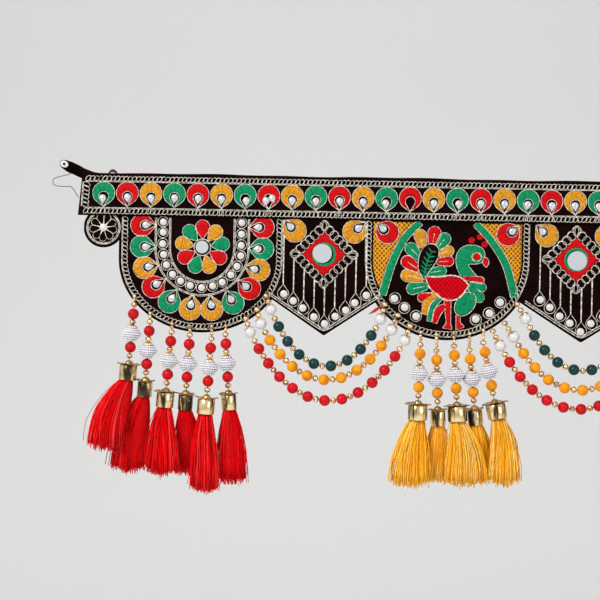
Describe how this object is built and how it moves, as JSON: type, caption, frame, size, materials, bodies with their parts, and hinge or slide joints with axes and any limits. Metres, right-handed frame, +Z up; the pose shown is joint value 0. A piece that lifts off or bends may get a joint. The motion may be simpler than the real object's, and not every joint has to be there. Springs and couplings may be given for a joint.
{
  "type": "toran door hanging on its cloth-covered pipe",
  "caption": "Embroidered black velvet toran with scalloped and pointed flaps, mirrors, bead strings, silk tassels and three-row bead garlands, hung on a thin cloth-covered pipe.",
  "frame": {"origin": "on the pipe's axis, midway along the heading band", "axes": "+X to the right along the pipe, +Y back towards the wall, +Z up; the embroidered front faces -Y"},
  "size_m": [0.7961, 0.0263, 0.3283],
  "materials": {
    "velvet": "black velvet with a faint maroon sheen",
    "zari": "pale champagne metal-wrapped embroidery cord",
    "satin_red": "satin-stitch thread",
    "satin_yellow": "satin-stitch thread",
    "satin_green": "satin-stitch thread",
    "stone": "foil-backed acrylic stone",
    "mirror_glass": "small round glass mirror",
    "pipe_plastic": "white plastic pipe",
    "brass": "thin turned brass caps, lightly tarnished",
    "gold_beads": "gold-plated beads",
    "pearl": "pearl-coated plastic beads",
    "red_beads": "opaque glossy beads",
    "yellow_beads": "opaque glossy beads",
    "green_beads": "opaque glossy dark teal beads",
    "red_silk": "lustrous rayon tassel thread",
    "yellow_silk": "lustrous rayon tassel thread",
    "loose_thread": "thin sewing thread"
  },
  "bodies": {
    "root": {"pipe_sleeve": "velvet", "pipe": "pipe_plastic", "heading_band": "velvet", "flap_cloth": "velvet", "mirror_scallop_left": "mirror_glass", "mirror_point_left": "mirror_glass", "mirror_point_right": "mirror_glass", "mirror_scallop_right": "mirror_glass", "string_red_left_1": "red_beads", "string_red_left_2": "red_beads", "string_red_left_3": "red_beads", "string_red_left_4": "red_beads", "string_red_left_5": "red_beads", "string_red_left_6": "red_beads", "tassel_red_left_1": "red_silk", "tassel_red_left_2": "red_silk", "tassel_red_left_3": "red_silk", "tassel_red_left_4": "red_silk", "tassel_red_left_5": "red_silk", "tassel_red_left_6": "red_silk", "string_yellow_1": "yellow_beads", "string_yellow_2": "yellow_beads", "string_yellow_3": "yellow_beads", "string_yellow_4": "yellow_beads", "string_yellow_5": "yellow_beads", "tassel_yellow_1": "yellow_silk", "tassel_yellow_2": "yellow_silk", "tassel_yellow_3": "yellow_silk", "tassel_yellow_4": "yellow_silk", "tassel_yellow_5": "yellow_silk", "string_red_right_1": "red_beads", "string_red_right_2": "red_beads", "string_red_right_3": "red_beads", "string_red_right_4": "red_beads", "string_red_right_5": "red_beads", "string_red_right_6": "red_beads", "tassel_red_right_1": "red_silk", "tassel_red_right_2": "red_silk", "tassel_red_right_3": "red_silk", "tassel_red_right_4": "red_silk", "tassel_red_right_5": "red_silk", "tassel_red_right_6": "red_silk", "garland_left_green": "green_beads", "garland_left_yellow": "yellow_beads", "garland_left_red": "red_beads", "garland_right_green": "green_beads", "garland_right_yellow": "yellow_beads", "garland_right_red": "red_beads"}
  },
  "joints": []
}
